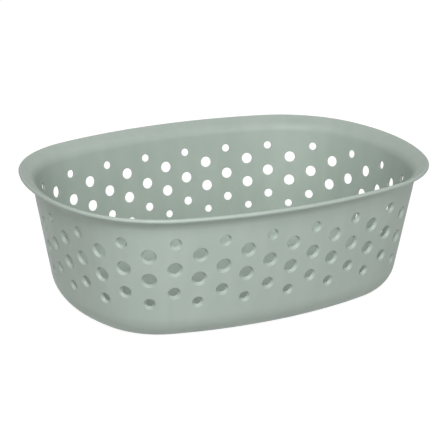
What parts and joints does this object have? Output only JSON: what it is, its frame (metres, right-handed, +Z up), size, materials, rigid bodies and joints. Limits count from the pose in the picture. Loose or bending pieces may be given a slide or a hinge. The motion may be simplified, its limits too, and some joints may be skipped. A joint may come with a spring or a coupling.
{
  "type": "perforated plastic basket",
  "caption": "Shallow oval one-piece basket: leaning wall with staggered round holes, flared lip with a rounded edge, plain floor on a low foot ring; holds toiletries.",
  "frame": {"origin": "under the middle of the basket, on the plane that its foot ring stands on", "axes": "+X along the basket's length, +Y across it, +Z up through the open mouth"},
  "size_m": [0.28, 0.2074, 0.0913],
  "materials": {
    "basket_plastic": "satin moulded polypropylene, muted sage grey-green"
  },
  "bodies": {
    "root": {"basket": "basket_plastic"}
  },
  "joints": []
}
